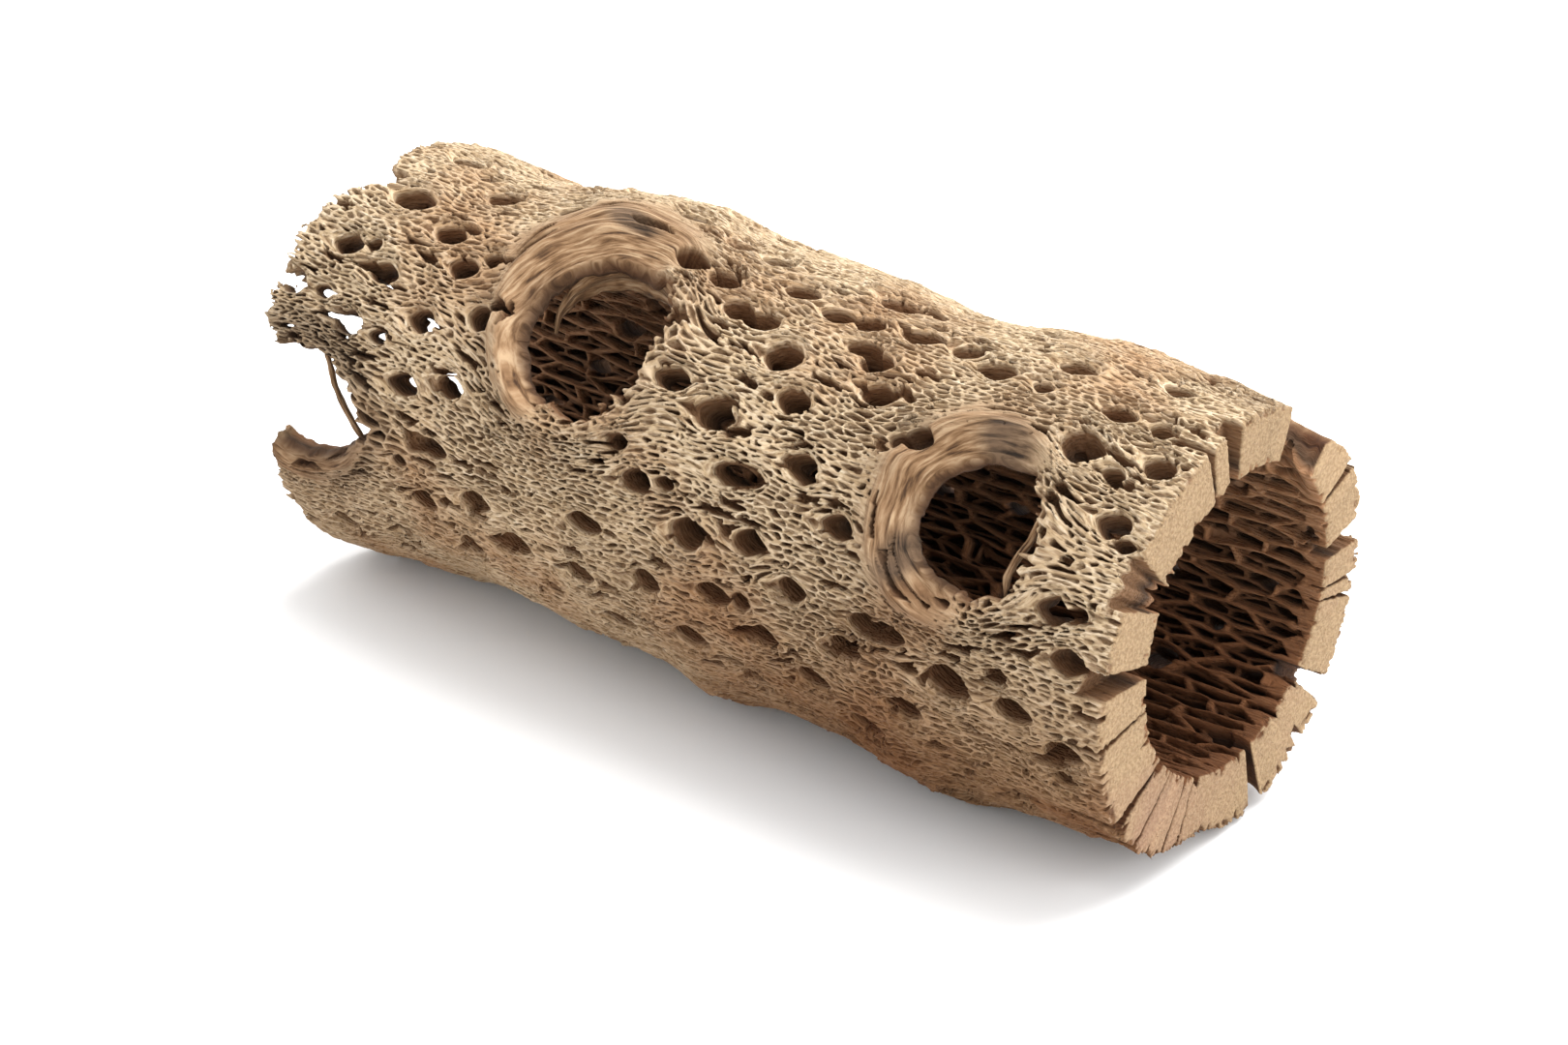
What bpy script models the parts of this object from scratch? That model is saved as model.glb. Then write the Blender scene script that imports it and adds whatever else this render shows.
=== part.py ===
"""Hollow cholla wood: one sawn length of dried cholla-cactus skeleton, lying on its side.

The skeleton is a woody tube with a net of long holes through its wall and three branch knots, each
ringed by a thick collar. +X runs along the log to its sawn end and +Z is up. The origin is on the
floor, under the middle of the log.

Places on the log are given as (x, psi): x is in millimetres along the log, and psi is in degrees
round it, from 0 at the top through 90 at the front (-Y) to 180 underneath. Depth is in millimetres
below the outer surface, and WALL is the depth of the bore.
"""

import math
import random

import bmesh
import bpy

MM = 0.001

# Driving dimensions, in millimetres.
HALF_LENGTH = 108.0
FAR_RADIUS = 44.3
NEAR_RADIUS = 45.0
AXIS_HEIGHT = 44.7
BORE_RADIUS = 31.0
WALL = 14.0
GAP = 0.4
ARC = 0.785  # length of one degree of arc on the outer surface

# The wall is modelled in four quarters, from one seam to the next.
SEAMS = (-45.0, 45.0, 135.0, 225.0, 315.0)
QUARTERS = ("lattice_wall_top", "lattice_wall_front", "lattice_wall_underside", "lattice_wall_back")
CELLS_ALONG = 14
CELLS_AROUND = 12

# Swellings and hollows of the outer surface: (x, psi, height, reach along, reach around in degrees).
SWELLINGS = (
    (-36.0, 0.0, 4.0, 18.0, 42.0),
    (70.0, -30.0, 1.5, 14.0, 40.0),
    (-74.0, -25.0, -2.0, 12.0, 30.0),
    (38.0, -25.0, -2.0, 14.0, 30.0),
    (5.0, 146.0, 2.4, 9.0, 28.0),
    (59.0, 146.0, 3.2, 13.0, 24.0),
    (-58.0, 146.0, -2.2, 17.0, 24.0),
    (-98.0, 140.0, 2.0, 10.0, 30.0),
    (-25.0, 45.0, 2.2, 24.0, 30.0),
    (72.0, 53.0, 2.0, 20.0, 26.0),
    (-15.0, 250.0, 2.2, 24.0, 36.0),
    (60.0, 268.0, 1.2, 22.0, 34.0),
    (-80.0, 275.0, 1.5, 18.0, 30.0),
    (-72.0, 182.0, 3.0, 18.0, 26.0),
    (62.0, 184.0, 2.4, 18.0, 24.0),
    (108.0, 168.0, -4.0, 18.0, 17.0),
)

# How far the broken far end reaches, as (psi, x), all the way round.
FAR_END = (
    (-10, -102), (5, -101), (14, -96), (24, -105), (38, -107), (58, -108), (66, -106), (104, -104),
    (124, -106), (146, -105), (165, -102), (190, -106), (215, -103), (240, -107), (262, -101),
    (285, -105), (310, -100), (330, -104), (350, -102),
)

# Radial notches in the sawn end: (psi, half width in degrees, depth).
END_NOTCHES = (
    (-32.0, 11.0, 10.0), (12.0, 1.5, 6.0), (56.0, 6.0, 10.0), (80.0, 3.5, 9.0), (98.0, 0.9, 8.0),
    (120.0, 1.2, 11.0), (150.0, 0.9, 9.0), (172.0, 0.9, 8.0), (232.0, 3.0, 9.0), (266.0, 2.4, 9.0),
    (285.0, 2.4, 8.0),
)

# Branch knots: centre (x, psi), half size of the opening (along, around), the collar's least and
# greatest width, where it is widest (degrees from +X towards the front), the height of its crest,
# and the arc that it covers.
KNOTS = {
    "branch_collar_left": dict(at=(-25.0, 42.0), size=(15.0, 14.6), width=(4.0, 7.5), widest=200.0,
                               crest=2.6, arc=(0.0, 360.0)),
    "branch_collar_right": dict(at=(72.0, 53.0), size=(11.0, 13.2), width=(4.0, 7.5), widest=190.0,
                                crest=2.4, arc=(0.0, 360.0)),
    "branch_collar_end": dict(at=(-96.0, 85.0), size=(18.0, 13.0), width=(4.0, 5.0), widest=60.0,
                              crest=0.8, arc=(-115.0, 113.0)),
}
KNOT_SIDES = 28

# Holes through the wall where leaves and spines grew: (x, psi, half length, half width).
LARGE_HOLE = (4.4, 3.4)
PLAIN_HOLE = (3.7, 2.5)
LARGE_HOLES = ((26, -6), (38, -6), (16, 29), (9, 50), (10, 82), (73, 96), (85, 27), (-88, -8), (17, 64))
PLAIN_HOLES = (
    (-71, 5), (-51, 6), (-14, -8), (-3, 4), (10, 8), (50, 6), (71, 1), (91, -6), (-88, 18),
    (-73, 25), (-64, 34), (-82, 45), (-95, 38), (-53, 46), (-67, 53), (-86, 59), (-55, 66),
    (-67, 72), (0, 21), (30, 15), (40, 30), (24, 40), (-3, 50), (32, 55), (44, 65), (-4, 72),
    (25, 77), (36, 86), (54, 88), (-16, 89), (17, 96), (0, 99), (29, 104), (-61, 102), (-72, 92),
    (-46, 96), (-57, 84), (-36, 107), (-50, 115), (-18, 105), (88, 95), (99, 77), (62, 108),
    (40, 111), (86, 10), (51, 123), (23, 122), (9, 113), (-11, 119), (-71, 120), (-90, 123),
    (80, 113), (94, 110),
)
SPIRAL_STEP = 1.75  # millimetres along the log from one hole of the spiral to the next
GOLDEN_ANGLE = 137.508
SPIRAL_SEED = 8
HOLE_SIDES = 8

COLOURS = {
    "lattice_wall_top": (0.55, 0.39, 0.23),
    "lattice_wall_front": (0.53, 0.37, 0.22),
    "lattice_wall_underside": (0.46, 0.32, 0.19),
    "lattice_wall_back": (0.50, 0.35, 0.21),
    "branch_collar_left": (0.47, 0.30, 0.16),
    "branch_collar_right": (0.45, 0.28, 0.16),
    "branch_collar_end": (0.49, 0.34, 0.20),
    "collar_splinter": (0.33, 0.20, 0.12),
    "knot_strand": (0.40, 0.24, 0.12),
    "end_strand": (0.42, 0.28, 0.15),
}


def clear_scene():
    for obj in list(bpy.data.objects):
        bpy.data.objects.remove(obj, do_unlink=True)


# The log's surface

def turn_between(psi, other):
    """The angle from other to psi, from -180 to 180 degrees."""
    return (psi - other + 180.0) % 360.0 - 180.0


def outer_radius(x, psi):
    along = (x + HALF_LENGTH) / (2 * HALF_LENGTH)
    radius = FAR_RADIUS + (NEAR_RADIUS - FAR_RADIUS) * along
    for centre_x, centre_psi, height, reach, reach_psi in SWELLINGS:
        off_x = (x - centre_x) / reach
        off_psi = turn_between(psi, centre_psi) / reach_psi
        radius += height * math.exp(-off_x * off_x - off_psi * off_psi)
    return radius


def on_log(x, psi, depth):
    """The point in metres at a depth below the outer surface; a swelling on the floor is flat."""
    outer = outer_radius(x, psi)
    inward = (outer - BORE_RADIUS) / WALL if depth > 0 else 1.0
    radius = outer - depth * inward
    angle = math.radians(psi)
    height = max(AXIS_HEIGHT + radius * math.cos(angle), 0.0)
    return (x * MM, -radius * math.sin(angle) * MM, height * MM)


def far_end_at(psi):
    """Where the far end lies at an angle, between the two nearest points of its outline."""
    for (psi_a, x_a), (psi_b, x_b) in zip(FAR_END, FAR_END[1:]):
        turn = (psi - psi_a) % 360.0
        if turn <= psi_b - psi_a:
            return x_a + (x_b - x_a) * turn / (psi_b - psi_a)
    return FAR_END[0][1]


# Making objects

def wood(name):
    material = bpy.data.materials.new(name + "_wood")
    material.use_nodes = True
    shader = material.node_tree.nodes["Principled BSDF"]
    shader.inputs["Base Color"].default_value = (*COLOURS[name], 1.0)
    shader.inputs["Roughness"].default_value = 0.85
    shader.inputs["Metallic"].default_value = 0.0
    material.diffuse_color = (*COLOURS[name], 1.0)
    return material


def object_of(name, mesh_builder):
    mesh = bpy.data.meshes.new(name)
    bmesh.ops.recalc_face_normals(mesh_builder, faces=mesh_builder.faces)
    mesh_builder.to_mesh(mesh)
    mesh_builder.free()
    obj = bpy.data.objects.new(name, mesh)
    bpy.context.scene.collection.objects.link(obj)
    return obj


def piece_of(name, mesh_builder):
    obj = object_of(name, mesh_builder)
    obj.data.materials.append(wood(name))
    obj.data.shade_smooth()
    obj.data.set_sharp_from_angle(angle=math.radians(35))
    return obj


def cut(obj, cutter):
    cutter.hide_render = True
    cutter.display_type = "WIRE"
    modifier = obj.modifiers.new(cutter.name, "BOOLEAN")
    modifier.operation = "DIFFERENCE"
    modifier.solver = "EXACT"
    modifier.object = cutter


def add_loops(mesh_builder, loops, closed):
    """Faces between neighbouring loops of points; closed joins the last loop to the first, and
    otherwise the first and last loops are filled."""
    rows = [[mesh_builder.verts.new(point) for point in loop] for loop in loops]
    pairs = list(zip(rows, rows[1:]))
    if closed:
        pairs.append((rows[-1], rows[0]))
    for row, following in pairs:
        for i in range(len(row)):
            j = (i + 1) % len(row)
            mesh_builder.faces.new((row[i], row[j], following[j], following[i]))
    if not closed:
        mesh_builder.faces.new(rows[0])
        mesh_builder.faces.new(reversed(rows[-1]))


# The wall

def wall_quarter(name, seam_from, seam_to):
    """One quarter of the tube, from its broken end to its sawn end."""
    half_gap = GAP / 2 / ARC
    builder = bmesh.new()
    psis = []
    for i in range(CELLS_AROUND + 1):
        psis.append(seam_from + half_gap + (seam_to - seam_from - 2 * half_gap) * i / CELLS_AROUND)
    loops = []
    for step in range(CELLS_ALONG + 1):
        loop = []
        for depth, row in ((0.0, psis), (WALL, psis[::-1])):
            for psi in row:
                start = far_end_at(psi)
                x = start + (HALF_LENGTH - start) * step / CELLS_ALONG
                loop.append(on_log(x, psi, depth))
        loops.append(loop)
    rows = [[builder.verts.new(point) for point in loop] for loop in loops]
    around = len(rows[0])
    for row, following in zip(rows, rows[1:]):
        for i in range(around):
            j = (i + 1) % around
            builder.faces.new((row[i], row[j], following[j], following[i]))
    for row in (rows[0], rows[-1]):
        for i in range(CELLS_AROUND):
            builder.faces.new((row[i], row[i + 1], row[around - 2 - i], row[around - 1 - i]))
    return piece_of(name, builder)


def tunnel(builder, centre, half_size, sides, reach_out=5.0, reach_in=18.0):
    """A cutter for one hole, which goes straight through the wall."""
    loops = []
    for depth in (-reach_out, reach_in):
        loop = []
        for i in range(sides):
            angle = 2 * math.pi * (i + 0.5) / sides
            x = centre[0] + half_size[0] * math.cos(angle)
            psi = centre[1] + half_size[1] * math.sin(angle) / ARC
            loop.append(on_log_cutter(x, psi, depth))
        loops.append(loop)
    add_loops(builder, loops, closed=False)


def on_log_cutter(x, psi, depth):
    """As on_log, but not flattened by the floor, so that a cutter passes right through the wall."""
    outer = outer_radius(x, psi)
    inward = (outer - BORE_RADIUS) / WALL if depth > 0 else 1.0
    radius = outer - depth * inward
    angle = math.radians(psi)
    return (x * MM, -radius * math.sin(angle) * MM, (AXIS_HEIGHT + radius * math.cos(angle)) * MM)


def spiral_holes():
    """The holes round the back and underneath, on the plant's own spiral, slightly irregular."""
    chance = random.Random(SPIRAL_SEED)
    holes = []
    steps = int(2 * HALF_LENGTH / SPIRAL_STEP)
    for k in range(steps):
        x = -HALF_LENGTH + SPIRAL_STEP * (k + 0.5) + chance.uniform(-1.5, 1.5)
        psi = (GOLDEN_ANGLE * k) % 360.0 + chance.uniform(-2.5, 2.5)
        if 140.0 < psi < 336.0 and -92.0 < x < 94.0:
            scale = chance.uniform(0.85, 1.15)
            holes.append((x, psi, PLAIN_HOLE[0] * scale, PLAIN_HOLE[1] * scale))
    return holes


def all_holes():
    holes = [(x, psi, *LARGE_HOLE) for x, psi in LARGE_HOLES]
    holes += [(x, psi, *PLAIN_HOLE) for x, psi in PLAIN_HOLES]
    holes += spiral_holes()
    kept = []
    for x, psi, half_length, half_width in holes:
        psi = clear_of_seams(psi, half_width)
        on_flat = abs(turn_between(psi, 180.0)) < 14.0 and (abs(x + 72) < 14 or abs(x - 62) < 14)
        if on_flat or near_knot(x, psi, half_length) or crowded(x, psi, kept):
            continue
        kept.append((x, psi, half_length, half_width))
    return kept


def clear_of_seams(psi, half_width):
    """Moves a hole whose edge would only graze a seam, so that no thin sliver is left."""
    for seam in SEAMS[:-1]:
        off = turn_between(psi, seam) * ARC
        if abs(abs(off) - half_width) < 1.0:
            away = half_width + 1.2 if abs(off) > half_width else half_width - 1.2
            return seam + math.copysign(away / ARC, off)
    return psi


def near_knot(x, psi, margin):
    for knot in KNOTS.values():
        off_x = x - knot["at"][0]
        off_s = turn_between(psi, knot["at"][1]) * ARC
        angle = math.degrees(math.atan2(off_s, off_x))
        reach = knot_radius(knot, angle, collar_width(knot, angle) + GAP) + margin + 0.8
        if math.hypot(off_x, off_s) < reach:
            return True
    return False


def crowded(x, psi, kept):
    for other_x, other_psi, other_length, _ in kept:
        if math.hypot(x - other_x, 1.4 * turn_between(psi, other_psi) * ARC) < 5.5 + other_length:
            return True
    return False


def hole_cutter(name, holes):
    builder = bmesh.new()
    for x, psi, half_length, half_width in holes:
        tunnel(builder, (x, psi), (half_length, half_width), HOLE_SIDES)
    return object_of(name, builder)


def notch_cutter(name, notches):
    """Radial notches that run in from the sawn end, each with a blunt inner end."""
    builder = bmesh.new()
    for psi, half_width, depth in notches:
        loops = []
        for below in (-6.0, 20.0):
            inner = HALF_LENGTH - depth
            corners = (
                (inner, psi - 0.6 * half_width), (HALF_LENGTH + 6.0, psi - half_width),
                (HALF_LENGTH + 6.0, psi + half_width), (inner, psi + 0.6 * half_width),
            )
            loops.append([on_log_cutter(x, turn, below) for x, turn in corners])
        add_loops(builder, loops, closed=False)
    return object_of(name, builder)


# The knots

def collar_width(knot, angle):
    least, greatest = knot["width"]
    return least + (greatest - least) * (0.5 + 0.5 * math.cos(math.radians(angle - knot["widest"])))


def knot_radius(knot, angle, beyond):
    """Distance from the knot's centre to its opening's edge, plus beyond."""
    half_along, half_around = knot["size"]
    turn = math.radians(angle)
    edge = 1 / math.hypot(math.cos(turn) / half_along, math.sin(turn) / half_around)
    return edge + beyond


def knot_point(knot, angle, beyond, depth, place=None):
    place = place or on_log
    radius = knot_radius(knot, angle, beyond)
    turn = math.radians(angle)
    x = knot["at"][0] + radius * math.cos(turn)
    psi = knot["at"][1] + radius * math.sin(turn) / ARC
    return place(x, psi, depth)


def collar_section(knot, angle):
    """The collar's section at an angle, as (distance beyond the opening's edge, depth)."""
    width = collar_width(knot, angle)
    crest = knot["crest"] * width / knot["width"][1]
    return (
        (0.0, 4.5), (0.12 * width, 0.6), (0.45 * width, -crest), (0.8 * width, -0.5 * crest),
        (width, 0.3), (width, WALL), (0.2 * width, WALL), (-0.6, WALL - 4.0),
    )


def collar(name):
    knot = KNOTS[name]
    start, stop = knot["arc"]
    full = stop - start == 360.0
    steps = round(KNOT_SIDES * (stop - start) / 360.0)
    loops = []
    for i in range(steps if full else steps + 1):
        angle = start + (stop - start) * i / steps
        loops.append([knot_point(knot, angle, *corner) for corner in collar_section(knot, angle)])
    builder = bmesh.new()
    add_loops(builder, loops, closed=full)
    return piece_of(name, builder)


def knot_cutter(name):
    """What the wall leaves out for a knot: its opening and its collar, with a small gap."""
    knot = KNOTS[name]
    builder = bmesh.new()
    loops = []
    for depth in (-6.0, 19.0):
        loop = []
        for i in range(KNOT_SIDES):
            angle = 360.0 * i / KNOT_SIDES
            beyond = collar_width(knot, angle) + GAP
            loop.append(knot_point(knot, angle, beyond, depth, on_log_cutter))
        loops.append(loop)
    add_loops(builder, loops, closed=False)
    return object_of(name + "_space", builder)


# Loose wood at the knots

def splinter():
    """A curved inner layer, which a crack has split from the left collar."""
    knot = KNOTS["branch_collar_left"]
    start, stop, steps = 188.0, 305.0, 14
    loops = []
    for i in range(steps + 1):
        along = i / steps
        angle = start + (stop - start) * along
        bulge = math.sin(math.pi * min(max(along, 0.12), 0.88))
        outer, inner = -1.4, -1.6 - 1.6 * bulge
        top = 5.5 - 2.0 * bulge
        section = ((outer, top), (outer, WALL - 4.0), (inner, WALL - 3.0), (inner, top + 1.2))
        loops.append([knot_point(knot, angle, *corner) for corner in section])
    builder = bmesh.new()
    add_loops(builder, loops, closed=False)
    return piece_of("collar_splinter", builder)


def strand(name, knot, from_angle, to_angle, thickness, sag):
    """A thin bundle of fibres that runs straight from one side of a knot's opening to the other."""
    ends = []
    for angle in (from_angle, to_angle):
        radius = knot_radius(knot, angle, -GAP)
        turn = math.radians(angle)
        ends.append((radius * math.cos(turn), radius * math.sin(turn)))
    (x_a, s_a), (x_b, s_b) = ends
    length = math.hypot(x_b - x_a, s_b - s_a)
    across = (-(s_b - s_a) / length, (x_b - x_a) / length)
    steps, sides = 8, 6
    loops = []
    for i in range(steps + 1):
        along = (thickness + (length - 2 * thickness) * i / steps) / length
        radius = thickness * (1.0 - 0.35 * math.sin(math.pi * i / steps)) / 2
        bow = sag * math.sin(math.pi * i / steps)
        loop = []
        for j in range(sides):
            turn = 2 * math.pi * j / sides
            off = bow + radius * math.cos(turn)
            x = knot["at"][0] + x_a + (x_b - x_a) * along + across[0] * off
            s = s_a + (s_b - s_a) * along + across[1] * off
            loop.append(on_log(x, knot["at"][1] + s / ARC, 3.5 + radius * math.sin(turn)))
        loops.append(loop)
    builder = bmesh.new()
    add_loops(builder, loops, closed=False)
    return piece_of(name, builder)


def build():
    clear_scene()
    for name in KNOTS:
        collar(name)
    spaces = {name: knot_cutter(name) for name in KNOTS}
    holes = all_holes()
    for i, name in enumerate(QUARTERS):
        seam_from, seam_to = SEAMS[i], SEAMS[i + 1]
        middle = (seam_from + seam_to) / 2
        wall = wall_quarter(name, seam_from, seam_to)
        for knot_name, space in spaces.items():
            if abs(turn_between(KNOTS[knot_name]["at"][1], middle)) < 85.0:
                cut(wall, space)
        inside = [hole for hole in holes if abs(turn_between(hole[1], middle)) < 51.0]
        cut(wall, hole_cutter(name + "_holes", inside))
        notches = [n for n in END_NOTCHES if abs(turn_between(n[0], middle)) < 60.0]
        cut(wall, notch_cutter(name + "_notches", notches))
    splinter()
    strand("knot_strand", KNOTS["branch_collar_right"], -52.0, 50.0, 1.8, 0.5)
    strand("end_strand", KNOTS["branch_collar_end"], -72.0, -8.0, 1.8, -0.6)


build()
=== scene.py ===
"""Hollow cholla wood, the visual model.

The wood is meshed from a solid field on a grid that is wrapped round the log. Places on the log are
(x, psi, depth): x in millimetres along it, psi in degrees round it from the top (0) through the front
(90) to underneath (180), and depth in millimetres below the surface. The field is cut into the same
regions as the CAD nodes, and each region is one closed mesh.
"""

import math

import bpy
import numpy as np
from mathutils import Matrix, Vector


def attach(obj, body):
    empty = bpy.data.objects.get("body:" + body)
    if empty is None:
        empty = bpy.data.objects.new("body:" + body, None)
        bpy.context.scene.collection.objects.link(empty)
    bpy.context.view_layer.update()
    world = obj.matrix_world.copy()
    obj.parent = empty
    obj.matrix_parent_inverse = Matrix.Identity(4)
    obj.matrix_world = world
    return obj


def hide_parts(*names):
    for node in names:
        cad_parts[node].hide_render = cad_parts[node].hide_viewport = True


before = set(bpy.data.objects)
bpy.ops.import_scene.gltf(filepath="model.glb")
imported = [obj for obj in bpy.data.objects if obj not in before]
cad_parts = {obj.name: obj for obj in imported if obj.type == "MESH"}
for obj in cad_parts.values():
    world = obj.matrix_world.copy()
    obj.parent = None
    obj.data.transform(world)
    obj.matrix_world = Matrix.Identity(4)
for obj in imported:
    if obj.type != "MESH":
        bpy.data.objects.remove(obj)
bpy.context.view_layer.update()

MM = 0.001

# The log, in millimetres, as in the CAD model.
HALF_LENGTH = 108.0
FAR_RADIUS = 44.3
NEAR_RADIUS = 45.0
AXIS_HEIGHT = 44.7
BORE_RADIUS = 31.0
WALL = 14.0
ARC = 0.785  # length of one degree of arc on the outer surface

# Swellings and hollows of the outer surface: (x, psi, height, reach along, reach around in degrees).
SWELLINGS = (
    (-36.0, 0.0, 4.0, 18.0, 42.0),
    (70.0, -30.0, 1.5, 14.0, 40.0),
    (-74.0, -25.0, -2.0, 12.0, 30.0),
    (38.0, -25.0, -2.0, 14.0, 30.0),
    (5.0, 146.0, 2.4, 9.0, 28.0),
    (59.0, 146.0, 3.2, 13.0, 24.0),
    (-58.0, 146.0, -2.2, 17.0, 24.0),
    (-98.0, 140.0, 2.0, 10.0, 30.0),
    (-25.0, 45.0, 2.2, 24.0, 30.0),
    (72.0, 53.0, 2.0, 20.0, 26.0),
    (-15.0, 250.0, 2.2, 24.0, 36.0),
    (60.0, 268.0, 1.2, 22.0, 34.0),
    (-80.0, 275.0, 1.5, 18.0, 30.0),
    (-72.0, 182.0, 3.0, 18.0, 26.0),
    (62.0, 184.0, 2.4, 18.0, 24.0),
    (108.0, 168.0, -4.0, 18.0, 17.0),
)

# The grid that the wood is meshed on.
AROUND = 1120
STEP_ALONG = 0.36
X_START = -113.0
GRID_LENGTH = 222.0
ALONG = int(GRID_LENGTH / STEP_ALONG) + 1
STEP_AROUND = 360.0 * ARC / AROUND

# Branch knots: centre (x, psi), half size of the opening (along, around), the collar's least and
# greatest width, the direction in which it is broad and how quickly it narrows from there, the
# direction in which it is smooth and where that ends, how far it dips to its lip, the height of its
# crest, how far the passage opens out under the lip (mm per mm), and how ragged the far side is.
# Directions are in degrees from +X towards the front. The one with no name is half cut off by the
# sawn end; it has no collar of its own in the CAD, and belongs to the wall.
KNOTS = {
    "branch_collar_left": dict(at=(-26.8, 39.5), size=(17.4, 18.6), width=(3.3, 13.5), broad=246.0,
                               narrows=3.6, smooth=200.0, turns=(0.4, 0.62), dip=3.2, crest=1.4,
                               flare=0.85, ragged=1.5),
    "branch_collar_right": dict(at=(72.0, 53.3), size=(14.0, 15.2), width=(3.0, 8.0), broad=195.0,
                                narrows=1.0, smooth=195.0, turns=(0.3, 0.62), dip=4.0, crest=1.2,
                                flare=0.9, ragged=1.1),
    "branch_collar_end": dict(at=(-96.0, 85.0), size=(17.5, 13.0), width=(2.0, 4.0), broad=90.0,
                              narrows=1.0, smooth=90.0, turns=(0.5, 0.8), dip=1.0, crest=0.5,
                              flare=0.2, ragged=0.8),
    "": dict(at=(112.0, -34.0), size=(15.0, 11.0), width=(4.0, 12.0), broad=270.0, narrows=1.0,
             smooth=270.0, turns=(0.2, 0.5), dip=2.5, crest=0.3, flare=0.0, ragged=0.8),
}

# The thin inner layer split from the left collar, and the loose strands: paths of (x, psi, depth).
SPLINTER = ((-12.5, 24.0, 7.0), (-16.0, 19.0, 6.7), (-21.0, 15.5, 6.6), (-27.0, 14.2, 6.9),
            (-33.2, 15.4, 7.4), (-38.4, 19.8, 8.2), (-41.8, 25.9, 9.2), (-43.0, 32.6, 10.3),
            (-42.2, 38.8, 11.6))
KNOT_STRAND = ((85.0, 42.0, 2.6), (84.6, 47.0, 3.0), (84.0, 52.5, 3.6), (82.4, 58.0, 3.8),
               (82.0, 62.5, 3.4), (83.0, 67.5, 2.6))
END_STRAND = ((-90.5, 69.5, 3.0), (-88.6, 73.5, 3.0), (-87.2, 78.0, 3.2), (-84.8, 82.5, 3.4),
              (-82.0, 86.5, 3.2), (-79.0, 90.5, 3.0), (-76.5, 93.0, 3.0))

# Holes where leaves and spines grew: half length and half width by size, and places as (x, psi).
LARGE_HOLE, PLAIN_HOLE, SMALL_HOLE = (5.0, 3.7), (4.1, 2.8), (2.5, 1.7)
THROUGH = 99.0  # depth of a hole that goes through the wall
LARGE_HOLES = ((26, -6), (38, 6), (16, 28), (9, 49), (10, 81), (73, 94), (85, 26), (-88, 18), (-71, 5))
PLAIN_HOLES = (
    (-89, -6), (-51, 6), (-28, -8), (-14, -6), (-4, -5), (8, 5), (19, 9), (26, 8), (49, 7), (71, 1),
    (91, -5), (-73, 25), (-64, 34), (-95, 38), (-82, 43), (-53, 46), (-67, 52), (-104, 53),
    (-86, 59), (-55, 66), (-67, 70), (-17, 10), (-8, 11), (0, 19), (6, 20), (30, 17), (35, 21),
    (40, 30), (24, 39), (-3, 44), (17, 62), (32, 54), (44, 65), (-4, 72), (25, 77), (36, 85),
    (54, 87), (59, 87), (-16, 89), (17, 95), (0, 99), (49, 96), (29, 102), (-61, 102),
    (-46, 96), (-57, 84), (-36, 105), (-50, 113), (-18, 105), (88, 95), (99, 77), (99, 102),
    (62, 108), (40, 111), (86, 12), (58, 11), (101, 24), (99, 42), (54, 38), (51, 121), (23, 122),
    (9, 113), (-11, 119), (-71, 121), (-90, 125), (94, 66),
)
SMALL_HOLES = (
    (-80, -2), (-59, 29), (-88, 36), (-50, 42), (-95, 53), (-77, 60), (23, 61), (3, 70), (-10, 64),
    (24, 94), (-67, 92), (84, 87), (99, 65), (99, 110), (69, 12), (103, 46), (50, 40), (94, 30),
    (96, 13), (34, 56),
)

# The hidden side's holes follow the plant's spiral: x and psi from one hole to the next, and the
# range of psi that they fill. One of them doesn't reach the passage.
SPIRAL_STEP = 1.05
GOLDEN_ANGLE = 137.508
HIDDEN_SIDE = (130.0, 344.0)
BLIND_HOLE = (29.2, 234.0)
BLIND_DEPTH = 7.0

# Nets of long cells: cell length and width in mm, seed, and how uneven the cells are.
BARK_NET = (3.1, 1.3, 11, 0.44)
GAP_NET = (7.5, 2.9, 13, 0.36)
SLIT_NET = (11.0, 1.5, 19, 0.44)
LINING_NET = (14.0, 4.9, 12, 0.36)
FINE_LINING_NET = (8.0, 2.9, 14, 0.36)

# Brown-black stains: centre (x, psi), reach along and around in mm.
STAINS = ((71.0, 31.0, 5.5, 3.4), (-34.0, 7.0, 6.0, 2.2), (59.0, 66.0, 3.0, 5.0))

# How far the broken far end reaches, as (psi, x).
FAR_END = (
    (-10, -102), (4, -102), (9, -100), (15, -94), (18, -100), (24, -105), (34, -106), (38, -107.5),
    (46, -106.5), (52, -107), (58, -108), (64, -107), (70, -104), (104, -104), (124, -106),
    (146, -105), (165, -102), (190, -106), (215, -103), (240, -107), (262, -101), (285, -105),
    (310, -100), (330, -104), (350, -102),
)

# Notches and slits in the sawn end: (psi, half width in mm, how far they run in, lean in mm).
END_NOTCHES = (
    (5.5, 2.3, 4.0, 0.0), (15.5, 0.6, 9.0, 0.5), (54.0, 4.4, 2.8, 0.0), (79.5, 2.4, 5.5, 0.0),
    (96.0, 0.5, 9.0, -0.5), (124.0, 1.0, 11.0, 0.6), (136.0, 0.35, 8.0, 0.3),
    (150.5, 0.3, 5.0, 0.2), (157.0, 0.25, 4.0, -0.3), (232.0, 2.3, 6.0, 0.0), (258.0, 0.4, 2.5, 0.3),
    (263.0, 0.4, 2.5, 0.0), (276.0, 2.4, 4.5, 0.0), (297.0, 0.8, 6.0, 0.3),
)

# The wall's regions: four quarters round the log, and three lengths of each.
QUARTERS = ("lattice_wall_top", "lattice_wall_front", "lattice_wall_underside", "lattice_wall_back")
LENGTHS = ("far", "middle", "near")
LENGTH_SEAMS = (-36.0, 36.0)
FIRST_WALL = 10  # number of the first wall region, after the collars' numbers

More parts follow.
